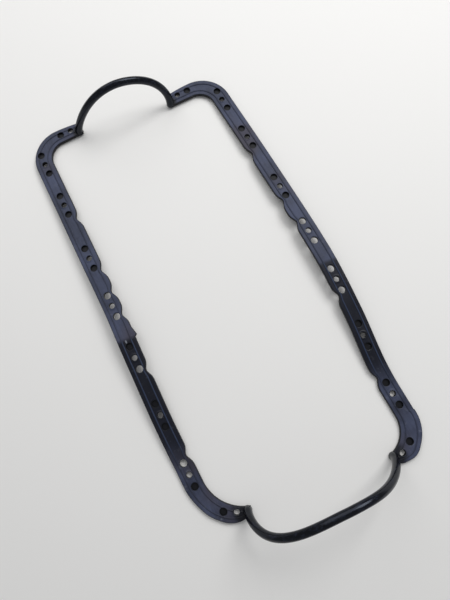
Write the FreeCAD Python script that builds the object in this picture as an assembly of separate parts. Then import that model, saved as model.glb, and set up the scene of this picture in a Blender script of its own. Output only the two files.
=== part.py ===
# Moulded rubber oil pan gasket, in millimetres. X runs along the crankcase, Y across it, +Z up.
# Two flat flanges with bolt holes are joined at both ends by half-round seals that stand up.
# The gasket is modelled as it lies: a little askew, bowed on one side and raised along a fold.
import FreeCAD, Part
import math
import os

V = FreeCAD.Vector

# flange section; its sides are measured from the line of holes
outer_side = 11.0
inner_side = 10.0
flange_width = outer_side + inner_side
flange_thickness = 4.0
rib_width = 1.3
rib_height = 0.7
rib_from_edge = 5.2

# bolt groups: a bolt hole with a relief hole on each side of it
group_places = [-197.2, -136.7, -61.6, 2.0, 66.0, 133.9, 203.4]
hole_pitch = 13.3
bolt_hole_dia = 6.6
relief_hole_dia = 8.2
relief_depth = 2.6
left_open_reliefs = [(3, -1), (3, 1), (4, 1), (6, -1)]
right_open_reliefs = [(3, -1), (3, 1), (4, -1), (4, 1)]
bolt_ring_dia = 9.6
bolt_ring_height = 0.5

# notches in the inner edge, beside the groups
left_notches = [-114.5, -42.6, -13.6, 15.7, 83.5, 183.9]
right_notches = [-114.5, -43.9, -13.6, 83.5, 181.9]
notch_depth = 3.6
notch_half_length = 10.0
notch_floor_length = 2.4
notch_shoulder = (4.4, 0.8)
rib_dip = 1.2
rib_dip_length = 7.0

# how the gasket lies: distance of each flange's middle from the long axis, at a few places
skew = 22.8
left_lie = [(-195.0, 122.6), (-57.0, 120.4), (13.0, 119.2), (71.0, 120.7), (150.0, 122.5), (215.0, 121.4)]
right_lie = [(-199.3, 106.6), (-100.5, 112.8), (29.0, 118.5), (107.2, 116.9), (171.9, 112.2), (227.3, 113.5)]
fold_place = 43.0
fold_rise = 12.0
level_place = 196.0
fold_lip_width = 2.6
fold_lip_length = 26.0

# ends of each flange: place and radius of the turn, and how far the flange runs on past it. Its inner side runs on
# further, by slant over the whole width. The tapers take width off each side towards the tip. hole and foot are the
# distances back from the tip to the last bolt hole and to the seal's foot
left_front = {"place": -195.0, "radius": 27.3, "run": 30.1, "slant": 2.0, "inner_taper": 3.4, "outer_taper": 2.3, "hole": 11.9, "foot": 3.0}
right_front = {"place": -199.3, "radius": 27.3, "run": 29.3, "slant": 4.5, "inner_taper": 2.8, "outer_taper": 1.9, "hole": 10.2, "foot": -0.8}
left_rear = {"place": 215.0, "radius": 43.5, "run": -2.6, "slant": 7.0, "inner_taper": 11.4, "outer_taper": 0.5, "hole": 10.8, "foot": -0.2}
right_rear = {"place": 227.2, "radius": 32.5, "run": 0.5, "slant": 5.9, "inner_taper": 7.7, "outer_taper": 0.5, "hole": 8.9, "foot": 0.2}
turn_taper_share = 0.94
# the rear turns stand out on their outer side: share of the turn, and how far
left_rear["bulge"] = [(0.0, 0.0), (0.15, -0.6), (0.3, -0.5), (0.46, 0.7), (0.6, 1.6), (0.75, 2.7), (0.88, 2.2), (1.0, 0.0)]
right_rear["bulge"] = [(0.0, 0.6), (0.22, 2.1), (0.54, 3.7), (0.73, 4.6), (0.9, 1.6), (1.0, 0.0)]
end_hole_offset = 2.8

# half-round seals
seal_dia = 8.6
foot_dias = [9.8, 9.8, 9.5, 9.1]
foot_inset_front = 4.3
foot_inset_rear = 3.0
seal_start = 5.0
front_seal = {"rise": 55.0, "lean": 4.9, "sway": -2.8, "squareness": 1.06, "lean_wander": (3.3, 1.8), "sway_wander": (4.0, -2.3)}
rear_seal = {"rise": 76.0, "lean": 15.3, "sway": -0.1, "squareness": 0.9, "lean_wander": (4.3, 3.9), "sway_wander": (7.2, -3.3)}
seal_steps = 20

rail_steps = 9
turn_steps = 8
bite = 0.6


def follow(points, x):
    # smooth curve through a few points, straight on past the last ones
    slopes = []
    for i in range(len(points)):
        a, b = points[max(i - 1, 0)], points[min(i + 1, len(points) - 1)]
        slopes.append((b[1] - a[1]) / (b[0] - a[0]))
    if x <= points[0][0]:
        return points[0][1]
    if x >= points[-1][0]:
        return points[-1][1]
    i = max(k for k in range(len(points) - 1) if points[k][0] <= x)
    (x0, y0), (x1, y1) = points[i], points[i + 1]
    span = x1 - x0
    t = (x - x0) / span
    start = (1 + 2 * t) * (1 - t) ** 2 * y0 + t * (1 - t) ** 2 * span * slopes[i]
    end = t * t * (3 - 2 * t) * y1 + t * t * (t - 1) * span * slopes[i + 1]
    return start + end


class Rail:
    # one side's flange; offsets are measured from its middle, towards the inside of the gasket
    def __init__(self, side, lie, front, rear, notches, open_reliefs):
        self.side = side
        self.open_reliefs = open_reliefs
        self.lie = lie
        self.front = front
        self.rear = rear
        self.notches = notches
        self.shift = skew if side > 0 else 0.0

    def point(self, x, y):
        return V(x + self.shift, self.side * y, 0)

    def along(self, x, offset):
        return self.point(x, follow(self.lie, x) - offset)

    def turned(self, end, ahead, angle, offset):
        # ahead is -1 at the front end and +1 at the rear end
        centre = follow(self.lie, end["place"]) - end["radius"]
        radius = end["radius"] - offset
        x = end["place"] + ahead * radius * math.sin(angle)
        return self.point(x, centre + radius * math.cos(angle))

    def past(self, end, ahead, run, offset):
        centre = follow(self.lie, end["place"]) - end["radius"]
        return self.point(end["place"] + ahead * (end["radius"] - offset), centre - run)

    def narrowed(self, end, offset, share, inner):
        # inner is 1 on a line of the inner side and 0 on one of the outer side
        if inner:
            return offset - end["inner_taper"] * share ** 2
        taper = end["outer_taper"] * max((share - turn_taper_share) / (1 - turn_taper_share), 0.0) ** 2
        return offset + taper - (follow(end["bulge"], share) if "bulge" in end else 0.0)

    def dip(self, x, depth):
        # how far a rib gives way beside a notch
        gaps = [abs(x - place) for place in self.notches]
        return depth * max(0.0, 1 - min(gaps) / rib_dip_length)

    def places(self, dipped):
        first, last = self.front["place"], self.rear["place"]
        regular = [first + (last - first) * k / rail_steps for k in range(rail_steps + 1)]
        if not dipped:
            return regular
        clear = [x for x in regular if min(abs(x - place) for place in self.notches) > 1.6 * rib_dip_length or x in (first, last)]
        near = [place + part * rib_dip_length for place in self.notches for part in (-1.0, -0.5, 0.0, 0.5, 1.0)]
        return sorted(clear + near)

    def path(self, offset, inner, dip=0.0):
        # points from the front tip to the rear tip
        quarter = math.pi / 2
        front_run = self.front["run"] + self.front["slant"] * offset / flange_width
        points = []
        for part in (1.0, 0.5):
            share = turn_taper_share + (1 - turn_taper_share) * part
            points.append(self.past(self.front, -1, front_run * part, self.narrowed(self.front, offset, share, inner)))
        for k in range(turn_steps, 0, -1):
            share = turn_taper_share * k / turn_steps
            points.append(self.turned(self.front, -1, quarter * k / turn_steps, self.narrowed(self.front, offset, share, inner)))
        for x in self.places(dip > 0):
            points.append(self.along(x, offset - self.dip(x, dip)))
        sweep = self.rear_sweep(offset)
        for k in range(1, turn_steps + 1):
            angle = sweep * k / turn_steps
            points.append(self.turned(self.rear, 1, angle, self.narrowed(self.rear, offset, k / turn_steps, inner)))
        return points

    def rear_sweep(self, offset):
        return math.pi / 2 + (self.rear["run"] + self.rear["slant"] * offset / flange_width) / self.rear["radius"]

    def tip(self, ahead, offset, back=0.0):
        # a point at a tip, or so far back from it along the flange
        if ahead < 0:
            run = self.front["run"] + self.front["slant"] * offset / flange_width
            return self.past(self.front, -1, run - back, offset)
        angle = self.rear_sweep(offset) - back / self.rear["radius"]
        return self.turned(self.rear, 1, angle, offset)


def curve(points):
    spline = Part.BSplineCurve()
    spline.interpolate(points)
    return spline.toShape()


def prism(edges, height):
    face = Part.Face(Part.Wire(Part.__sortEdges__(edges)))
    face.translate(V(0, 0, -height))
    return face.extrude(V(0, 0, 2 * height))


def ribbon(rail, low, high, low_inner, high_inner, height, dip=0.0):
    # upright prism between two lines that follow the flange
    outer = rail.path(low, low_inner, dip)
    inner = rail.path(high, high_inner, dip)
    edges = [curve(outer), curve(inner)]
    edges.append(Part.LineSegment(outer[0], inner[0]).toShape())
    edges.append(Part.LineSegment(outer[-1], inner[-1]).toShape())
    return prism(edges, height)


def underside(x):
    # height of the flange's underside above the surface it lies on
    front = left_front["place"] - left_front["radius"] - flange_width
    if x < fold_place:
        return fold_rise * max(x - front, 0) / (fold_place - front)
    return fold_rise * max(level_place - x, 0) / (level_place - fold_place)


def height_at(point):
    half_span = left_lie[0][1]
    return underside(point.x - skew * (point.y + half_span) / (2 * half_span))


def layer(low, high):
    # a sheet over the whole gasket that follows the fold, from low to high above the underside
    front = left_front["place"] - left_front["radius"] - flange_width
    reach = 400.0
    half_span = left_lie[0][1]
    places = [-reach, front, fold_place, level_place, reach]
    lower = [V(x, -reach, underside(x) + low) for x in places]
    upper = [V(x, -reach, underside(x) + high) for x in reversed(places)]
    face = Part.Face(Part.makePolygon(lower + upper + [lower[0]]))
    lean = skew / (2 * half_span)
    face.translate(V(lean * (half_span - reach), 0, 0))
    return face.extrude(V(2 * reach * lean, 2 * reach, 0))


def notch(rail, place):
    # a short floor between two rounded shoulders
    def at(dx, depth):
        return rail.along(place + dx, inner_side - depth)
    out, floor = notch_half_length, notch_floor_length / 2
    shoulder, drop = notch_shoulder
    edges = [Part.Arc(at(-out, 0.0), at(-shoulder, drop), at(-floor, notch_depth)).toShape(),
             Part.LineSegment(at(-floor, notch_depth), at(floor, notch_depth)).toShape(),
             Part.Arc(at(floor, notch_depth), at(shoulder, drop), at(out, 0.0)).toShape(),
             Part.LineSegment(at(out, 0.0), at(out, -3.0)).toShape(),
             Part.LineSegment(at(out, -3.0), at(-out, -3.0)).toShape(),
             Part.LineSegment(at(-out, -3.0), at(-out, 0.0)).toShape()]
    return prism(edges, 60.0)


def fold_lip(rail):
    # pointed lip that the fold pushes out of the inner edge
    outline = [(-fold_lip_length, inner_side - notch_depth), (0.0, inner_side + fold_lip_width), (fold_lip_width, inner_side - 1.0)]
    points = [rail.along(fold_place + dx, offset) for dx, offset in outline]
    return prism([Part.LineSegment(a, b).toShape() for a, b in zip(points, points[1:] + points[:1])], 60.0)


def flange(rail):
    body = ribbon(rail, -outer_side, inner_side, 0, 1, 60.0)
    for place in rail.notches:
        body = body.cut(notch(rail, place))
    if rail.side < 0:
        body = body.fuse(fold_lip(rail))
    body = body.common(layer(0, flange_thickness))
    rib_layer = layer(flange_thickness - bite, flange_thickness + rib_height)
    low = -outer_side + rib_from_edge
    outer_rib = ribbon(rail, low - rib_width / 2, low + rib_width / 2, 0, 0, 60.0)
    high = inner_side - rib_from_edge
    inner_rib = ribbon(rail, high - rib_width / 2, high + rib_width / 2, 1, 1, 60.0, rib_dip)
    return body.fuse([outer_rib.common(rib_layer), inner_rib.common(rib_layer)])


def hole_points(rail):
    # bolt holes, relief holes that end in a floor and relief holes that go through
    bolts = [rail.along(place, 0) for place in group_places]
    reliefs = []
    opened = []
    for number, place in enumerate(group_places):
        for side in (-1, 1):
            kind = opened if (number, side) in rail.open_reliefs else reliefs
            kind.append(rail.along(place + side * hole_pitch, 0))
    for ahead, end in ((-1, rail.front), (1, rail.rear)):
        bolts.append(rail.tip(ahead, -end_hole_offset, end["hole"]))
        reliefs.append(rail.tip(ahead, -end_hole_offset, end["hole"] + hole_pitch))
    return bolts, reliefs, opened


def drilled(body, rail):
    bolts, reliefs, opened = hole_points(rail)
    rings = []
    cuts = []
    for p in bolts:
        top = height_at(p) + flange_thickness
        rings.append(Part.makeCylinder(bolt_ring_dia / 2, bite + bolt_ring_height, V(p.x, p.y, top - bite)))
        cuts.append(Part.makeCylinder(bolt_hole_dia / 2, 120.0, V(p.x, p.y, -60.0)))
    for p in reliefs:
        floor = height_at(p) + flange_thickness - relief_depth
        cuts.append(Part.makeCylinder(relief_hole_dia / 2, 60.0, V(p.x, p.y, floor)))
    for p in opened:
        cuts.append(Part.makeCylinder(relief_hole_dia / 2, 120.0, V(p.x, p.y, -60.0)))
    return body.fuse(rings).cut(cuts)


def seal_path(start, end, shape):
    # an arch over the chord from start to end, leaning outwards and swaying sideways as it lies
    middle = (start + end) * 0.5
    chord = end - start
    half = chord.Length / 2
    side = chord.normalize()
    out = side.cross(V(0, 0, 1))
    points = []
    for k in range(seal_steps + 1):
        turn = math.pi * k / seal_steps
        across = -math.cos(turn)
        across = math.copysign(abs(across) ** shape["squareness"], across) * half
        up = shape["rise"] * max(math.sin(turn), 0.0) ** shape["squareness"]
        lean = shape["lean"] * up / shape["rise"] + shape["lean_wander"][0] * math.sin(2 * turn) + shape["lean_wander"][1] * math.sin(3 * turn)
        sway = shape["sway"] * up / shape["rise"] + shape["sway_wander"][0] * math.sin(2 * turn) + shape["sway_wander"][1] * math.sin(3 * turn)
        points.append(middle + side * (across + sway) + out * lean + V(0, 0, up))
    return points


def round_wire(dia, centre, normal):
    return Part.Wire(Part.makeCircle(dia / 2, centre, normal))


def seal(points):
    # cord swept along the arch, and a foot at each end that narrows into it
    spine = curve(points)
    arch = spine.Curve
    start, stop = spine.FirstParameter, spine.LastParameter
    section = round_wire(seal_dia, points[0], arch.tangent(start)[0])
    pieces = [Part.Wire(spine).makePipeShell([section], True, False)]
    for end, inner, way in ((start, arch.parameter(points[1]), 1), (stop, arch.parameter(points[-2]), -1)):
        base = arch.value(end)
        wires = [round_wire(foot_dias[0], V(base.x, base.y, height_at(base) + bite), V(0, 0, 1))]
        for dia, part in zip(foot_dias[1:], (0.0, 0.5, 1.0)):
            parameter = end + (inner - end) * part
            wires.append(round_wire(dia, arch.value(parameter), arch.tangent(parameter)[0] * way))
        pieces.append(Part.makeLoft(wires, True))
    return pieces


def foot_points(left, right):
    found = []
    for ahead, name, inset in ((-1, "front", foot_inset_front), (1, "rear", foot_inset_rear)):
        for rail in (left, right):
            end = getattr(rail, name)
            found.append(rail.tip(ahead, inner_side - end["inner_taper"] - inset, end["foot"]))
    return found[:2], found[2:]


def gasket():
    left = Rail(-1, left_lie, left_front, left_rear, left_notches, left_open_reliefs)
    right = Rail(1, right_lie, right_front, right_rear, right_notches, right_open_reliefs)
    pieces = [drilled(flange(rail), rail) for rail in (left, right)]
    front, back = foot_points(left, right)
    lift = V(0, 0, seal_start)
    pieces += seal(seal_path(front[1] + lift, front[0] + lift, front_seal))
    pieces += seal(seal_path(back[0] + lift, back[1] + lift, rear_seal))
    whole = pieces[0].fuse(pieces[1:])
    middle = whole.optimalBoundingBox().Center
    print("middle of the outline", round(middle.x, 2), round(middle.y, 2))
    whole.translate(V(-middle.x, -middle.y, 0))
    return whole.removeSplitter()


os.makedirs("parts", exist_ok=True)
body = gasket()
body.exportStep("parts/gasket.step")
print("solids", len(body.Solids), "faces", len(body.Faces), "valid", body.isValid(), "volume", round(body.Volume))
print("box", body.optimalBoundingBox())
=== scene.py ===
import bpy
import math
import numpy as np
from mathutils import Matrix, Vector


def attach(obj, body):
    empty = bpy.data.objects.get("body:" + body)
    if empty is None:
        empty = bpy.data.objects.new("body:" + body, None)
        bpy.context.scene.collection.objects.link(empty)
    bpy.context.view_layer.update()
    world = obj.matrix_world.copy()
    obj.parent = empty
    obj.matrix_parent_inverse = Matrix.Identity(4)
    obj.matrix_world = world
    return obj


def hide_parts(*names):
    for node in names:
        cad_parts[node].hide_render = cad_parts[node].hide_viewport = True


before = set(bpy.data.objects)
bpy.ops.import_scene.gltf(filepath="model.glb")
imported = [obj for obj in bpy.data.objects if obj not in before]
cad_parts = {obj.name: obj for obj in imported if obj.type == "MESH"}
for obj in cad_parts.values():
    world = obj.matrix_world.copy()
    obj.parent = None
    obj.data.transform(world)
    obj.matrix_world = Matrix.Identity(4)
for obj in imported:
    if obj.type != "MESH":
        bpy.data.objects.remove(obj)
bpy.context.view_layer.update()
print("frame loaded")


class Value:
    # one output socket of a material's nodes; arithmetic on it adds Math nodes
    def __init__(self, sheet, socket):
        self.sheet = sheet
        self.socket = socket

    def maths(self, operation, other=None):
        return self.sheet.node("ShaderNodeMath", {"operation": operation}, self, other)

    def __add__(self, other):
        return self.maths("ADD", other)

    def __sub__(self, other):
        return self.maths("SUBTRACT", other)

    def __mul__(self, other):
        return self.maths("MULTIPLY", other)

    def __rsub__(self, other):
        return self.sheet.node("ShaderNodeMath", {"operation": "SUBTRACT"}, other, self)

    __radd__ = __add__
    __rmul__ = __mul__

    def ramp(self, low, high):
        # 0 below low, 1 above high, smooth between them
        settings = {"interpolation_type": "SMOOTHSTEP"}
        return self.sheet.node("ShaderNodeMapRange", settings, self, low, high, 0.0, 1.0)


class Sheet:
    # the nodes of one material
    def __init__(self, name):
        self.material = bpy.data.materials.new(name)
        self.material.use_nodes = True
        self.nodes = self.material.node_tree.nodes
        self.links = self.material.node_tree.links
        self.shader = self.nodes["Principled BSDF"]
        self.place = self.node("ShaderNodeTexCoord", {}, output="Object")

    def node(self, kind, settings, *values, output=0, **named):
        made = self.nodes.new(kind)
        for setting, value in settings.items():
            setattr(made, setting, value)
        for socket, value in zip(made.inputs, values):
            self.feed(socket, value)
        for name, value in named.items():
            self.feed(made.inputs[name], value)
        return Value(self, made.outputs[output])

    def feed(self, socket, value):
        if isinstance(value, Value):
            self.links.new(value.socket, socket)
        elif value is not None:
            socket.default_value = value

    def dress(self, **values):
        # values for the shader's own sockets, with spaces left out of their names
        sockets = {socket.name.replace(" ", ""): socket for socket in self.shader.inputs}
        for name, value in values.items():
            self.feed(sockets[name], value)

    def noise(self, scale, detail=3.0, roughness=0.55, place=None):
        return self.node("ShaderNodeTexNoise", {}, Vector=place or self.place,
                         Scale=scale, Detail=detail, Roughness=roughness)

    def split(self):
        # the piece's own x, y and z
        parts = self.nodes.new("ShaderNodeSeparateXYZ")
        self.feed(parts.inputs[0], self.place)
        return [Value(self, socket) for socket in parts.outputs]

    def attribute(self, name, output="Fac"):
        return self.node("ShaderNodeAttribute", {"attribute_name": name}, output=output)

    def mix(self, amount, first, second):
        made = self.nodes.new("ShaderNodeMix")
        made.data_type = "RGBA"
        for index, value in ((0, amount), (6, first), (7, second)):
            self.feed(made.inputs[index], value)
        return Value(self, made.outputs[2])


# how the gasket lies, in millimetres of its drawing; middle is the drawing's point that stands at the origin
drawing = {
    "middle": (30.35, -2.11),
    "skew": 22.8,
    "halfSpan": 122.6,
    "frontEdge": -244.3,
    "foldPlace": 43.0,
    "levelPlace": 196.0,
    "foldRise": 12.0,
    "sharpFold": 0.25,
    "softFold": 1.6,
    "softFloor": 0.2,
}


def toFrame(points):
    # drawing millimetres to the frame's metres
    return (np.array(points, float) - [*drawing["middle"], 0.0]) / 1000.0


def follow(points, x):
    # cubic Hermite curve through the points, with mean slopes, level past both ends
    px, py = np.array(points, float).T
    steps = np.arange(len(px))
    low, high = np.maximum(steps - 1, 0), np.minimum(steps + 1, len(px) - 1)
    slope = (py[high] - py[low]) / (px[high] - px[low])
    x = np.clip(x, px[0], px[-1])
    i = np.clip(np.searchsorted(px, x, side="right") - 1, 0, len(px) - 2)
    span = px[i + 1] - px[i]
    t = (x - px[i]) / span
    start = (1 + 2 * t) * (1 - t) ** 2 * py[i] + t * (1 - t) ** 2 * span * slope[i]
    return start + t * t * (3 - 2 * t) * py[i + 1] + t * t * (t - 1) * span * slope[i + 1]


def softLeast(a, b, softness):
    # the smaller of two numbers, rounded where they cross: -s ln(e^(-a/s) + e^(-b/s))
    return -softness * np.logaddexp(-a / softness, -b / softness)


def underside(x, y):
    # height above the floor: a rise and a fall that meet at the fold, in coordinates that undo the skew
    fold, lift = drawing["foldPlace"], drawing["foldRise"]
    across = (y + drawing["halfSpan"]) / (2 * drawing["halfSpan"])
    straight = x - drawing["skew"] * across
    rise = lift * (straight - drawing["frontEdge"]) / (fold - drawing["frontEdge"])
    fall = lift * (drawing["levelPlace"] - straight) / (drawing["levelPlace"] - fold)
    softness = drawing["sharpFold"] + (drawing["softFold"] - drawing["sharpFold"]) * np.clip(across, 0, 1)
    ridge = softLeast(rise, fall, softness)
    return np.maximum(-softLeast(-ridge, 0 * rise, drawing["softFloor"]), 0.0)


def addPiece(name, points, faces, values, sharp):
    # points in drawing millimetres, faces as arrays of corners; values become attributes of the points
    mesh = bpy.data.meshes.new(name)
    used, flat = np.unique(np.concatenate([f.ravel() for f in faces]), return_inverse=True)
    corners, start = [], 0
    for f in faces:
        corners += flat[start:start + f.size].reshape(f.shape).tolist()
        start += f.size
    mesh.from_pydata(toFrame(points[used]).tolist(), [], corners)
    mesh.validate()
    mesh.polygons.foreach_set("use_smooth", np.ones(len(mesh.polygons), bool))
    mesh.set_sharp_from_angle(angle=math.radians(sharp))
    for title, numbers in values.items():
        kind, key = ("FLOAT", "value") if numbers.ndim == 1 else ("FLOAT_VECTOR", "vector")
        layer = mesh.attributes.new(title, kind, "POINT")
        layer.data.foreach_set(key, numbers[used].astype(np.float32).ravel())
    mesh.update()
    piece = bpy.data.objects.new(name, mesh)
    bpy.context.scene.collection.objects.link(piece)
    return piece


section = {
    # outer and inner edge from the line of holes
    "outer": 11.0, "inner": 10.0, "thickness": 4.0, "round": 0.9, "underRound": 0.35,
    "ribFromEdge": 5.2, "ribHalf": 0.85, "ribHeight": 0.7, "ribZone": 1.2,
    "fullWidth": 14.0,                     # below this width the ribs close up
    "turnShare": 0.94,                     # where a tip's own taper starts
    "cleanEdge": 1.5,                      # how far in from an edge the rubber is clean
    # the grid: a row's step, a turn's length as a share of its radius, and the columns of each zone
    "rowStep": 0.65, "frontTurn": 1.57, "rearTurn": 1.6,
    "edgeColumns": [0.0, 0.03, 0.09, 0.18, 0.32, 0.55, 0.78], "ribColumns": 8, "middleColumns": 12,
    "sharp": 32.0,
}
notches = {
    "depth": 3.9, "half": 12.0, "floorHalf": 1.2, "softness": 2.0, "blurRows": 9,
    "ribDip": 1.2, "ribDipHalf": 7.0,
    # the pointed lip that the fold pushes out of the left flange
    "lipFrom": 17.0, "lipReach": 2.6, "lipEnd": 45.6, "lipUnder": 1.0,
}
holes = {
    "groups": [-197.2, -136.7, -61.6, 2.0, 66.0, 133.9, 203.4],
    "pitch": 13.3, "endOffset": -2.8,
    "radius": (3.3, 4.1, 4.1),             # bolt hole, relief hole with a floor, relief hole right through
    "reliefDepth": 2.6, "rim": 0.22,
    "ringRadius": 4.8, "ringHeight": 0.5, "ringSlope": 0.7,
    "cornerShare": 0.93,                   # a triangle with all its corners on a circle is cut out within it
}
left = {
    "name": "flange_left", "side": -1, "shift": 0.0,
    "lie": [(-195.0, 122.6), (-57.0, 120.4), (13.0, 119.2), (71.0, 120.7), (150.0, 122.5), (215.0, 121.4)],
    "front": {"place": -195.0, "radius": 27.3, "run": 30.1, "slant": 2.0,
              "innerTaper": 3.4, "outerTaper": 2.3, "hole": 11.9, "foot": 3.0},
    "rear": {"place": 215.0, "radius": 43.5, "run": -2.6, "slant": 7.0,
             "innerTaper": 11.4, "outerTaper": 0.5, "hole": 10.8, "foot": -0.2},
    "bulge": [(0.0, 0.0), (0.15, -0.6), (0.3, -0.5), (0.46, 0.7),
              (0.6, 1.6), (0.75, 2.7), (0.88, 2.2), (1.0, 0.0)],
    "notches": [-114.5, -42.6, -13.6, 15.7, 83.5, 183.9],
    "lip": True,
    # relief holes right through, by group and side of the bolt
    "open": [(3, -1), (3, 1), (4, 1), (6, -1)],
}
right = {
    "name": "flange_right", "side": 1, "shift": drawing["skew"],
    "lie": [(-199.3, 106.6), (-100.5, 112.8), (29.0, 118.5), (107.2, 116.9), (171.9, 112.2), (227.3, 113.5)],
    "front": {"place": -199.3, "radius": 27.3, "run": 29.3, "slant": 4.5,
              "innerTaper": 2.8, "outerTaper": 1.9, "hole": 10.2, "foot": -0.8},
    "rear": {"place": 227.2, "radius": 32.5, "run": 0.5, "slant": 5.9,
             "innerTaper": 7.7, "outerTaper": 0.5, "hole": 8.9, "foot": 0.2},
    "bulge": [(0.0, 0.6), (0.22, 2.1), (0.54, 3.7), (0.73, 4.6), (0.9, 1.6), (1.0, 0.0)],
    "notches": [-114.5, -43.9, -13.6, 83.5, 181.9],
    "lip": False,
    "open": [(3, -1), (3, 1), (4, -1), (4, 1)],
}
width = section["outer"] + section["inner"]


def railPlaces(side):
    # even steps along the rail
    start, end = side["front"]["place"], side["rear"]["place"]
    return np.linspace(start, end, int((end - start) / section["rowStep"]))


def rearRows(side):
    return int(side["rear"]["radius"] * section["rearTurn"] / section["rowStep"])


def narrowed(end, offset, share, inner):
    # an end gives up width towards its tip: offset - taper * share^2 inside, offset + taper outside
    if inner:
        return offset - end["innerTaper"] * share ** 2
    turn = section["turnShare"]
    return offset + end["outerTaper"] * np.maximum((share - turn) / (1 - turn), 0.0) ** 2


def turnCentre(side, end):
    return end["place"], float(follow(side["lie"], end["place"])) - end["radius"]


def flangeLine(side, offset, inner, shape=0.0):
    # a line along one flange, offset from its holes: straight run, quarter turn, long rail, rear turn.
    # a turn is its centre + (radius - offset) * (sine, cosine); shape is added to the rail's offset
    front, rear, turn = side["front"], side["rear"], section["turnShare"]
    x, y = turnCentre(side, front)
    part = np.linspace(1, 0, int(front["run"] / section["rowStep"]), endpoint=False)
    reach = front["radius"] - narrowed(front, offset, turn + (1 - turn) * part, inner)
    run = [x - reach, y - (front["run"] + front["slant"] * offset / width) * part]
    rows = int(front["radius"] * section["frontTurn"] / section["rowStep"])
    angle = np.linspace(math.pi / 2, 0, rows, endpoint=False)
    reach = front["radius"] - narrowed(front, offset, turn * angle / (math.pi / 2), inner)
    bend = [x - reach * np.sin(angle), y + reach * np.cos(angle)]
    places = railPlaces(side)
    rail = [places, follow(side["lie"], places) - offset - shape]
    x, y = turnCentre(side, rear)
    sweep = math.pi / 2 + (rear["run"] + rear["slant"] * offset / width) / rear["radius"]
    share = np.linspace(0, 1, rearRows(side) + 1)[1:]
    reach = rear["radius"] - narrowed(rear, offset, share, inner)
    if not inner:
        reach += follow(side["bulge"], share)
    last = [x + reach * np.sin(sweep * share), y + reach * np.cos(sweep * share)]
    line = np.concatenate([np.array(stretch) for stretch in (run, bend, rail, last)], axis=1)
    return np.stack([line[0] + side["shift"], side["side"] * line[1]], 1)


def innerShape(side):
    # the inner edge over the rail: a notch is a short floor between sine shoulders, blurred
    x = railPlaces(side)
    depth, rows = notches["depth"], notches["blurRows"]
    gap = np.abs(x[:, None] - np.array(side["notches"])).min(1)
    u = np.clip((gap - notches["floorHalf"]) / (notches["half"] - notches["floorHalf"]), 0, 1)
    edge = -depth * (1 - np.sin(u * math.pi / 2))
    spread = np.exp(-(np.arange(-rows, rows + 1) * section["rowStep"] / notches["softness"]) ** 2)
    edge = np.convolve(np.pad(edge, rows, mode="edge"), spread / spread.sum(), "valid")
    if side["lip"]:
        fold, reach = drawing["foldPlace"], notches["lipReach"]
        start, end = notches["lipFrom"], notches["lipEnd"]
        rising = -depth + (depth + reach) * (x - start) / (fold - start)
        falling = reach - (reach + notches["lipUnder"]) * (x - fold) / (end - fold)
        lip = np.where(x < fold, rising, falling)
        edge = np.where((x > start) & (x < end), np.maximum(edge, lip), edge)
    dip = -notches["ribDip"] * np.clip(1 - gap / notches["ribDipHalf"], 0, 1)
    return edge, dip


def tipPoint(side, name, offset, back):
    # a point so far back from a tip
    end = side[name]
    x, y = turnCentre(side, end)
    reach = end["radius"] - offset
    length = end["run"] + end["slant"] * offset / width - back
    if name == "front":
        return (x - reach + side["shift"], side["side"] * (y - length))
    angle = math.pi / 2 + length / end["radius"]
    return (x + reach * math.sin(angle) + side["shift"], side["side"] * (y + reach * math.cos(angle)))


def holeList(side):
    # x, y, kind and radius of every hole; kind 0 bolt, 1 relief with a floor, 2 relief right through
    found = []
    for number, place in enumerate(holes["groups"]):
        for way in (0, -1, 1):
            x = place + way * holes["pitch"]
            kind = 0 if way == 0 else 2 if (number, way) in side["open"] else 1
            found.append((x + side["shift"], side["side"] * float(follow(side["lie"], x)), kind))
    for name in ("front", "rear"):
        for kind in (0, 1):
            back = side[name]["hole"] + kind * holes["pitch"]
            found.append((*tipPoint(side, name, holes["endOffset"], back), kind))
    return [(x, y, kind, holes["radius"][kind]) for x, y, kind in found]


def columnPlaces():
    # which two guide lines a column lies between, and how far from the first to the second
    edge = np.array(section["edgeColumns"])
    rib = np.linspace(0, 1, section["ribColumns"], endpoint=False)
    middle = np.linspace(0, 1, section["middleColumns"], endpoint=False)
    zones = [edge, rib, middle, rib, 1 - edge[::-1]]
    return np.concatenate([np.full(len(zone), i) for i, zone in enumerate(zones)]), np.concatenate(zones)


def flangeGrid(side):
    # rows run along the flange, columns across it between six guide lines: the edges and both sides
    # of each rib. also gives each point's distance to the nearest rib and to the nearest edge
    edgeShape, dip = innerShape(side)
    outer = flangeLine(side, -section["outer"], False)
    inner = flangeLine(side, section["inner"], True, edgeShape)
    across = inner - outer
    span = np.linalg.norm(across, axis=1, keepdims=True)
    across = across / span
    squeeze = np.minimum(1.0, span / section["fullWidth"])
    inset = section["ribFromEdge"] * squeeze
    first = len(outer) - rearRows(side) - len(edgeShape)
    lost = np.zeros((len(outer), 1))
    lost[first:first + len(edgeShape), 0] = edgeShape - dip
    outerRib = outer + across * inset
    innerRib = inner - across * (inset + lost * squeeze)
    zone = across * section["ribZone"] * squeeze
    guides = [outer, outerRib - zone, outerRib + zone, innerRib - zone, innerRib + zone, inner]
    guides = np.stack(guides, 1)
    index, part = columnPlaces()
    part = part[None, :, None]
    grid = guides[:, index] * (1 - part) + guides[:, index + 1] * part
    fromOuter = np.linalg.norm(grid - outer[:, None], axis=2)
    fromInner = np.linalg.norm(grid - inner[:, None], axis=2)
    fromRib = np.minimum(np.abs(fromOuter - inset), np.linalg.norm(grid - innerRib[:, None], axis=2))
    row = np.arange(len(outer))
    fromTip = np.minimum(row, row[::-1])[:, None] * section["rowStep"]
    return grid, fromRib.ravel(), np.minimum(np.minimum(fromOuter, fromInner), fromTip).ravel()


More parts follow.
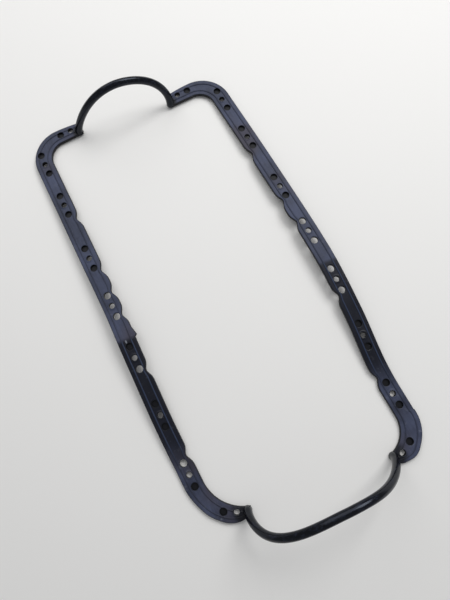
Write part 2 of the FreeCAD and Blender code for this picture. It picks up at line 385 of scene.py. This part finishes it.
def drawToHoles(flat, ids, found):
    # the nearer end of every grid edge that crosses a hole's circle is moved on to the circle.
    # state: 0 outside the holes, 1 on a circle, 2 inside. ring: height of the flat rings round the bolts
    along, beside = (ids[:-1], ids[1:]), (ids[:, :-1], ids[:, 1:])
    pairs = np.concatenate([np.stack([a.ravel(), b.ravel()], 1) for a, b in (along, beside)])
    state, kinds, ring = np.zeros(len(flat), int), np.full(len(flat), -1), np.zeros(len(flat))
    slope = holes["ringSlope"]
    for x, y, kind, radius in found:
        away = np.hypot(flat[:, 0] - x, flat[:, 1] - y)
        if kind == 0:
            part = (holes["ringRadius"] + slope / 2 - away) / slope
            ring = np.maximum(ring, holes["ringHeight"] * np.clip(part, 0, 1))
        ends = pairs[(away[pairs[:, 0]] < radius) != (away[pairs[:, 1]] < radius)]
        on = np.unique(ends[np.arange(len(ends)), np.abs(away[ends] - radius).argmin(1)])
        state[away < radius], state[on] = 2, 1
        kinds[away < radius], kinds[on] = kind, kind
        flat[on] = [x, y] + (flat[on] - [x, y]) * (radius / away[on])[:, None]
    return state, kinds, ring


def splitCells(flat, ids, state, found):
    # the grid's cells: whole ones, and those at a circle split along the corners that lie on it.
    # returns what lies inside the holes and what lies outside them
    cells = (ids[:-1, :-1], ids[1:, :-1], ids[1:, 1:], ids[:-1, 1:])
    quads = np.stack([corner.ravel() for corner in cells], 1)
    touched = (state[quads] == 1).any(1)
    whole, cut = quads[~touched], quads[touched]
    a, b, c, d = state[cut].T
    slash = (a == 1) & (c == 1) | (a + c == 2) & ~((b == 1) & (d == 1))
    oneWay = np.stack([cut[:, [0, 1, 2]], cut[:, [0, 2, 3]]], 1).reshape(-1, 3)
    otherWay = np.stack([cut[:, [1, 2, 3]], cut[:, [1, 3, 0]]], 1).reshape(-1, 3)
    triangles = np.where(np.repeat(slash, 2)[:, None], oneWay, otherWay)
    centres = flat[triangles].mean(1)
    within = (state[triangles] == 2).any(1)
    level = (state[triangles] == 1).all(1)
    for x, y, _, radius in found:
        away = np.hypot(centres[:, 0] - x, centres[:, 1] - y)
        within |= level & (away < radius * holes["cornerShare"])
    wholeIn = (state[whole] == 2).any(1)
    return [whole[wholeIn], triangles[within]], [whole[~wholeIn], triangles[~within]]


def directedEdges(groups):
    # every face's edges as (from, to)
    return np.concatenate([np.stack([f, np.roll(f, -1, 1)], 2).reshape(-1, 2) for f in groups if len(f)])


def rounding(rim, radius):
    # how far a rounded edge has fallen: r - sqrt(r^2 - (r - distance)^2)
    return radius - np.sqrt(np.maximum(radius ** 2 - np.clip(radius - rim, 0, radius) ** 2, 0))


def buildFlange(side):
    # top = underside + thickness + ribs and rings - rounded edge. the same grid serves three times:
    # for the top, for the underside and for the floors of the relief holes
    grid, fromRib, rim = flangeGrid(side)
    flat = grid.reshape(-1, 2).copy()
    count = len(flat)
    ids = np.arange(count).reshape(grid.shape[:2])
    found = holeList(side)
    state, kinds, ring = drawToHoles(flat, ids, found)
    ridge = np.sqrt(np.maximum(1 - (fromRib / section["ribHalf"]) ** 2, 0))
    base = underside(flat[:, 0], flat[:, 1])
    top = base + section["thickness"] - rounding(rim, section["round"])
    top += np.maximum(ridge * section["ribHeight"], ring)
    top[state == 1] -= holes["rim"]
    low = base + rounding(rim, section["underRound"])
    floors = base + section["thickness"] - holes["reliefDepth"]
    points = np.concatenate([np.column_stack([flat, height]) for height in (top, low, floors)])
    inside, outside = splitCells(flat, ids, state, found)
    if side["side"] < 0:       # the left flange is mirrored, so its corners run the other way round
        down, up = [f[:, ::-1] for f in outside], outside
        floorDown, floorUp = [f[:, ::-1] for f in inside], inside
    else:
        down, up = outside, [f[:, ::-1] for f in outside]
        floorDown, floorUp = inside, [f[:, ::-1] for f in inside]
    faces = up + [f + count for f in down]
    for under, over in zip(floorDown, floorUp):
        blind = kinds[under].max(1) == 1
        faces += [over[blind] + 2 * count, under[blind] + count]
    # the holes' walls stand on the edges that an outside and an inside face share
    edges, inEdges = directedEdges(up), directedEdges(floorUp)
    shared = np.isin(edges @ [count, 1], inEdges[:, ::-1] @ [count, 1])
    i, j = edges[shared].T
    toFoot = np.where(kinds[edges[shared]].max(1) == 1, 2 * count, count)
    faces.append(np.stack([j, i, i + toFoot, j + toFoot], 1))
    # outer walls, along both sides and across both tips
    border = np.concatenate([ids[:, 0], ids[-1, 1:], ids[-2::-1, -1], ids[0, -2:0:-1]])
    after = np.roll(border, -1)
    if not np.isin(border[0] * count + after[0], edges @ [count, 1]):
        border, after = after, border
    faces.append(np.stack([after, border, border + count, after + count], 1))
    nothing, everything = np.zeros(count), np.ones(count)
    edge = np.clip(1 - rim / section["cleanEdge"], 0, 1)
    edge[state == 1] = 1.0
    values = {"rib": np.concatenate([ridge, nothing, nothing]),
              "clean": np.concatenate([edge, everything, everything])}
    return addPiece(side["name"], points, faces, values, section["sharp"])


pieces = [buildFlange(left), buildFlange(right)]
print("flanges built")

seal = {
    "radius": 4.3, "start": 5.0,
    "footRadius": 4.9, "footRise": 12.0, "footSwell": 1.5, "footSunk": 0.65, "footFade": 16.0,
    "flash": 0.16, "flashShare": 0.03,       # the thin line that the mould leaves on both sides
    "rings": 150, "around": 40, "pathSteps": 400, "sharp": 60.0,
    "streakLength": 34.0, "streakTurn": 1.6,
}
frontSeal = {
    "name": "seal_front", "end": "front", "from": right, "to": left,
    "rise": 55.0, "lean": 4.9, "sway": -2.8, "squareness": 1.06, "inset": 4.3,
    "leanWander": (3.3, 1.8), "swayWander": (4.0, -2.3),
}
rearSeal = {
    "name": "seal_rear", "end": "rear", "from": left, "to": right,
    "rise": 76.0, "lean": 15.3, "sway": -0.1, "squareness": 0.9, "inset": 3.0,
    "leanWander": (4.3, 3.9), "swayWander": (7.2, -3.3),
}


def footPlace(side, shape):
    # where a seal's arch starts above its foot
    end = shape["end"]
    offset = section["inner"] - side[end]["innerTaper"] - shape["inset"]
    return np.array([*tipPoint(side, end, offset, side[end]["foot"]), seal["start"]])


def sealPath(shape):
    # an arch: across = -cos^p, up = rise * sin^p; lean and sway grow with the height and wander
    # with the sines of two and three times the turn. also gives the side that the arch faces
    start, end = footPlace(shape["from"], shape), footPlace(shape["to"], shape)
    chord = end - start
    half = np.linalg.norm(chord) / 2
    side, upward = chord / np.linalg.norm(chord), np.array([0, 0, 1.0])
    out = np.cross(side, upward)
    turn = np.linspace(0, math.pi, seal["pathSteps"])[:, None]
    square = shape["squareness"]
    across = -np.sign(np.cos(turn)) * np.abs(np.cos(turn)) ** square * half
    height = np.maximum(np.sin(turn), 0) ** square
    twice, thrice = np.sin(2 * turn), np.sin(3 * turn)
    lean = shape["lean"] * height + shape["leanWander"][0] * twice + shape["leanWander"][1] * thrice
    sway = shape["sway"] * height + shape["swayWander"][0] * twice + shape["swayWander"][1] * thrice
    arch = (start + end) / 2 + side * (across + sway) + out * lean + upward * shape["rise"] * height
    arch[0], arch[-1] = start, end
    first, last = start.copy(), end.copy()
    for base in (first, last):
        base[2] = underside(base[0], base[1]) + seal["footSunk"]
    return np.concatenate([[first, (first + start) / 2], arch, [(last + end) / 2, last]]), out


def buildSeal(shape):
    # a cord swept along its arch: rings of radius * (cosine, sine), swollen into the feet,
    # closed with a pole at each base
    path, out = sealPath(shape)
    gone = np.concatenate([[0], np.cumsum(np.linalg.norm(np.diff(path, axis=0), axis=1))])
    rings, around = seal["rings"], seal["around"]
    even = np.linspace(0, gone[-1], rings)
    centre = np.stack([np.interp(even, gone, path[:, k]) for k in range(3)], 1)
    tangent = np.gradient(centre, axis=0)
    tangent[:2], tangent[-2:] = (0, 0, 1), (0, 0, -1)
    tangent /= np.linalg.norm(tangent, axis=1, keepdims=True)
    normal = out - tangent * (tangent @ out)[:, None]
    normal /= np.linalg.norm(normal, axis=1, keepdims=True)
    other = np.cross(tangent, normal)
    fromBase = np.minimum(even, even[-1] - even)
    swell = np.clip(1 - fromBase / seal["footRise"], 0, 1) ** seal["footSwell"]
    radius = seal["radius"] + (seal["footRadius"] - seal["radius"]) * swell
    angle = np.linspace(0, 2 * math.pi, around, endpoint=False)
    sine, cosine = np.sin(angle), np.cos(angle)
    flash = seal["flash"] * np.maximum(1 - (1 - np.abs(sine)) / seal["flashShare"], 0)
    spoke = cosine[None, :, None] * normal[:, None] + sine[None, :, None] * other[:, None]
    tube = centre[:, None] + (radius[:, None] + flash)[..., None] * spoke
    points = np.concatenate([tube.reshape(-1, 3), centre[[0, -1]]])
    ids = np.arange(rings * around).reshape(rings, around)
    beside = np.roll(ids, -1, 1)
    body = np.stack([part.ravel() for part in (ids[:-1], beside[:-1], beside[1:], ids[1:])], 1)
    firstCap = np.stack([np.full(around, ids.size), beside[0], ids[0]], 1)
    lastCap = np.stack([np.full(around, ids.size + 1), ids[-1], beside[-1]], 1)
    # where a point lies on the cord: its way along, then sine and cosine, so that no seam shows
    length, turn = seal["streakLength"], seal["streakTurn"]
    along = np.repeat(even / even[-1], around) * length
    skin = np.stack([along, np.tile(sine, rings) * turn, np.tile(cosine, rings) * turn], 1)
    skin = np.concatenate([skin, [[0.0, 0.0, 0.0], [length, 0.0, 0.0]]])
    low = np.repeat(np.clip(1 - fromBase / seal["footFade"], 0, 1), around)
    values = {"skin": skin, "foot": np.concatenate([low, [1.0, 1.0]])}
    return addPiece(shape["name"], points, [body, firstCap, lastCap], values, seal["sharp"])


seals = [buildSeal(frontSeal), buildSeal(rearSeal)]
print("seals built")

rubber = {
    "clean": (0.0075, 0.008, 0.0105, 1.0),     # sides, holes and underside, and the painted shadow round the seals' feet
    "dull": (0.0060, 0.0068, 0.0115, 1.0),     # painted shade over the half past the fold, which tilts away from the light
    "bloomLow": (0.026, 0.031, 0.052, 1.0),    # chalky faces, darker spots
    "bloomHigh": (0.074, 0.087, 0.147, 1.0),   # chalky faces, paler spots
    "warm": (0.050, 0.040, 0.048, 1.0),
    # painted shade and painted highlight on the ribs: dark lines where the face is lit, bright lines in the
    # painted shade
    "ribDark": (0.011, 0.013, 0.022, 1.0),
    "ribBright": (0.034, 0.048, 0.092, 1.0),
    "scuff": (0.30, 0.32, 0.36, 1.0),
    "roughness": 0.46,
    "specular": 0.2,
    # bounds of the painted shade: the fold and the rear corners, as x - lean * y + start, in metres
    "lean": 0.09299, "start": 0.01915, "fold": (0.041, 0.047), "corner": (0.160, 0.205),
    # scales of the noises
    "wander": 38.0, "blotch": 26.0, "spot": 150.0, "streak": (46.0, 520.0, 60.0), "grain": 1500.0,
    "stain": 17.0, "dust": 620.0, "cornerDust": 95.0, "looseDust": 120.0,
    # places and half sizes of pale marks
    "nick": (0.0158, -0.1192, 0.0019), "nickStretch": (0.6, 3.0),
    "crosses": [(0.2424, 0.1205), (0.2277, -0.1085)],
    "crossHalf": 0.0022, "crossWide": 0.0004,
    # painted shadow of the seals' raised feet on the flange tips: place and reach
    "tips": [(-0.2503, -0.0659, 0.010), (-0.2312, 0.0507, 0.010),
             (0.2325, -0.0803, 0.020), (0.2531, 0.0826, 0.018)],
    # how far the noise pushes the edges of the painted shade past the fold, the painted shadows round the
    # seals' feet and the nick, in metres
    "drift": 0.012, "foldDrift": 0.25, "tipDrift": 0.004, "nickDrift": 0.002,
    # the levels between which each pattern fades in
    "blotchBand": (0.32, 0.68), "stainBand": (0.50, 0.68), "ribBand": (0.15, 0.8), "cleanBand": (0.25, 0.95),
    "cornerBand": (0.60, 0.74), "looseBand": (0.66, 0.78), "dustBand": (0.70, 0.78),
    # how strongly each layer shows
    "stainShare": 0.6, "shadedShare": 0.93, "ribShare": (0.45, 0.4), "tipShare": 0.92, "nickShare": 0.6,
    "crossShare": 0.34, "looseShare": 0.4, "dustShare": 0.12, "chalkDustShare": 0.16,
    "chalkWeights": (0.55, 0.5, 0.7, 0.2),     # blotch, spot, streak, and the lowest level
    "roughWeights": (0.12, 0.16, 0.06),        # blotch, streak, and the shaded half
    "reliefWeights": (0.35, 0.35, 0.5),        # grain, streak, spot
    "bump": (0.35, 0.00018),
}


def stroke(u, v):
    # 1 inside a short straight stroke
    wide, long = rubber["crossWide"], rubber["crossHalf"]
    beside = u.maths("ABSOLUTE").ramp(wide * 0.6, wide)
    beyond = v.maths("ABSOLUTE").ramp(long * 0.8, long)
    return (1 - beside) * (1 - beyond)


def rubberFinish():
    sheet = Sheet("rubber")
    x, y = sheet.split()[:2]
    straight = x - y * rubber["lean"] + rubber["start"]
    wander = (sheet.noise(rubber["wander"], 2.0) - 0.5) * rubber["drift"]
    past = (straight + wander * rubber["foldDrift"]).ramp(*rubber["fold"])
    corner = (straight + wander).ramp(*rubber["corner"])
    # painted shade: 1 past the fold, fading out again towards the rear corners
    shaded = past * (1 - corner)
    blotch = sheet.noise(rubber["blotch"], 4.0).ramp(*rubber["blotchBand"])
    spot = sheet.noise(rubber["spot"])
    stretched = sheet.node("ShaderNodeMapping", {}, Vector=sheet.place, Scale=rubber["streak"])
    streak = sheet.noise(1.0, place=stretched)
    grain = sheet.noise(rubber["grain"], 2.0)
    # chalky faces, with painted shade over the half past the fold, and their ribs
    blotchPart, spotPart, streakPart, lowest = rubber["chalkWeights"]
    pale = blotch * blotchPart + (spot - 0.5) * spotPart + (streak - 0.5) * streakPart + lowest
    chalk = sheet.mix(pale, rubber["bloomLow"], rubber["bloomHigh"])
    stain = sheet.noise(rubber["stain"], 2.0).ramp(*rubber["stainBand"]) * rubber["stainShare"]
    chalk = sheet.mix(stain, chalk, rubber["warm"])
    body = sheet.mix(shaded * rubber["shadedShare"], chalk, rubber["dull"])
    # the ribs painted with shade lines on the lit half and highlight lines on the half with painted shade
    rib = sheet.mix(shaded, rubber["ribDark"], rubber["ribBright"])
    ribBase, ribMore = rubber["ribShare"]
    ribbed = sheet.attribute("rib").ramp(*rubber["ribBand"]) * (ribBase + ribMore * shaded)
    lined = sheet.mix(ribbed, body, rib)
    # dark rubber at the edges and in the holes, and painted shadow round the seals' feet at the tips
    clean = sheet.attribute("clean").ramp(*rubber["cleanBand"])
    # painted shadow that the seals' raised feet cast on the flange tips
    for shadowX, shadowY, reach in rubber["tips"]:
        u, v = x - shadowX, y - shadowY
        away = (u * u + v * v).maths("SQRT") + (spot - 0.5) * rubber["tipDrift"]
        clean = clean.maths("MAXIMUM", rubber["tipShare"] * (1 - away.ramp(reach * 0.55, reach)))
    face = sheet.mix(clean, lined, rubber["clean"])
    # pale marks and dust
    nickX, nickY, nickSize = rubber["nick"]
    stretchX, stretchY = rubber["nickStretch"]
    u, v = x - nickX, y - nickY
    away = (u * u * stretchX + v * v * stretchY).maths("SQRT") + (spot - 0.5) * rubber["nickDrift"]
    marks = (1 - away.ramp(nickSize * 0.4, nickSize)) * (1 - clean) * rubber["nickShare"]
    for crossX, crossY in rubber["crosses"]:
        u, v = (x - crossX) + (y - crossY), (x - crossX) - (y - crossY)
        marks = marks.maths("MAXIMUM", rubber["crossShare"] * stroke(u, v).maths("MAXIMUM", stroke(v, u)))
    cornerDust = sheet.noise(rubber["cornerDust"]).ramp(*rubber["cornerBand"]) * corner
    looseDust = sheet.noise(rubber["looseDust"], 2.0).ramp(*rubber["looseBand"]) * rubber["looseShare"]
    dust = sheet.noise(rubber["dust"], 1.0).ramp(*rubber["dustBand"]) * rubber["dustShare"]
    dust = dust + (cornerDust + looseDust) * (1 - clean) * rubber["chalkDustShare"]
    strength, depth = rubber["bump"]
    grainPart, streakPart, spotPart = rubber["reliefWeights"]
    relief = grain * grainPart + streak * streakPart + spot * spotPart
    blotchPart, streakPart, shadedPart = rubber["roughWeights"]
    roughness = rubber["roughness"] + (blotch - 0.5) * blotchPart + (streak - 0.5) * streakPart
    roughness = roughness - shaded * shadedPart
    sheet.dress(BaseColor=sheet.mix(marks.maths("MAXIMUM", dust), face, rubber["scuff"]),
                Roughness=roughness, SpecularIORLevel=rubber["specular"],
                Normal=sheet.node("ShaderNodeBump", {}, Strength=strength, Distance=depth, Height=relief))
    return sheet.material


cord = {
    "deep": (0.0020, 0.0020, 0.0026, 1.0),
    "worn": (0.013, 0.016, 0.028, 1.0),
    "foot": (0.0025, 0.0035, 0.0050, 1.0),
    "roughness": 0.2,
    "specular": 0.3,
    "tint": (0.74, 0.82, 1.0, 1.0),
    "streak": 1.6, "patch": 70.0, "grain": 1300.0,
    "wornBand": (0.45, 0.72), "footBand": (0.0, 0.9),
    "wornWeights": (0.8, 0.3),                 # streak, patch
    "roughWeights": (0.28, 0.12),              # streak, patch
    "reliefWeights": (0.8, 0.25),              # streak, grain
    "bump": (0.3, 0.00022),
}


def cordFinish():
    sheet = Sheet("cord_rubber")
    streak = sheet.noise(cord["streak"], 4.0, 0.6, sheet.attribute("skin", "Vector"))
    patch = sheet.noise(cord["patch"])
    grain = sheet.noise(cord["grain"], 2.0)
    streakPart, patchPart = cord["wornWeights"]
    worn = streak.ramp(*cord["wornBand"]) * streakPart + (patch - 0.5) * patchPart
    colour = sheet.mix(worn, cord["deep"], cord["worn"])
    foot = sheet.attribute("foot").ramp(*cord["footBand"])
    strength, depth = cord["bump"]
    streakPart, grainPart = cord["reliefWeights"]
    relief = streak * streakPart + grain * grainPart
    streakPart, patchPart = cord["roughWeights"]
    roughness = cord["roughness"] + (streak - 0.5) * streakPart + (patch - 0.5) * patchPart
    sheet.dress(BaseColor=sheet.mix(foot, colour, cord["foot"]), Roughness=roughness,
                SpecularIORLevel=cord["specular"], SpecularTint=cord["tint"],
                Normal=sheet.node("ShaderNodeBump", {}, Strength=strength, Distance=depth, Height=relief))
    return sheet.material


for group, finish in ((pieces, rubberFinish()), (seals, cordFinish())):
    for piece in group:
        piece.data.materials.append(finish)
        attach(piece, "root")
        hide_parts("gasket")
print("rubber made")

studio = {
    "floor": (0.86, 0.85, 0.83, 1.0), "floorRoughness": 0.9, "floorHalf": 4.0, "floorDrop": 0.0004,
    "fill": (0.95, 0.97, 1.0, 1.0), "fillStrength": 0.33,
    "lamps": [
        {"place": (-0.42, 0.98, 1.25), "size": 0.8, "power": 12.0},
        {"place": (-1.05, 0.1, 1.15), "size": 1.5, "power": 11.0},
    ],
}


def addFloor():
    half, drop = studio["floorHalf"], -studio["floorDrop"]
    corners = [(-half, -half, drop), (half, -half, drop), (half, half, drop), (-half, half, drop)]
    mesh = bpy.data.meshes.new("floor")
    mesh.from_pydata(corners, [], [(0, 1, 2, 3)])
    sheet = Sheet("floor")
    sheet.dress(BaseColor=studio["floor"], Roughness=studio["floorRoughness"])
    mesh.materials.append(sheet.material)
    floor = bpy.data.objects.new("floor", mesh)
    bpy.context.scene.collection.objects.link(floor)


def addLights():
    world = bpy.data.worlds.new("studio")
    bpy.context.scene.world = world
    world.use_nodes = True
    background = world.node_tree.nodes["Background"]
    background.inputs["Color"].default_value = studio["fill"]
    background.inputs["Strength"].default_value = studio["fillStrength"]
    for index, settings in enumerate(studio["lamps"]):
        lamp = bpy.data.lights.new("lamp%d" % index, "AREA")
        lamp.size = settings["size"]
        lamp.energy = settings["power"]
        holder = bpy.data.objects.new("lamp%d" % index, lamp)
        holder.location = settings["place"]
        holder.rotation_euler = (-Vector(settings["place"])).to_track_quat("-Z", "Y").to_euler()
        bpy.context.scene.collection.objects.link(holder)


camera = {
    "place": (142.3, -28.2, 506.8),      # in the drawing's millimetres
    "right": (0.4491, 0.8928, -0.0355),
    "back": (0.1769, -0.0499, 0.983),
    "lens": 27.0,
    "sensor": 36.0,
}


def addCamera():
    lens = bpy.data.cameras.new("camera")
    lens.sensor_width = camera["sensor"]
    lens.sensor_fit = "AUTO"
    lens.lens = camera["lens"]
    eye = bpy.data.objects.new("camera", lens)
    back = Vector(camera["back"]).normalized()
    rightward = Vector(camera["right"])
    rightward = (rightward - back * rightward.dot(back)).normalized()
    turned = Matrix((rightward, back.cross(rightward), back)).transposed().to_4x4()
    eye.matrix_world = Matrix.Translation(toFrame(camera["place"]).tolist()) @ turned
    bpy.context.scene.collection.objects.link(eye)
    bpy.context.scene.camera = eye


addFloor()
addLights()
addCamera()
bpy.context.scene.view_settings.view_transform = "Standard"
print("stage set")
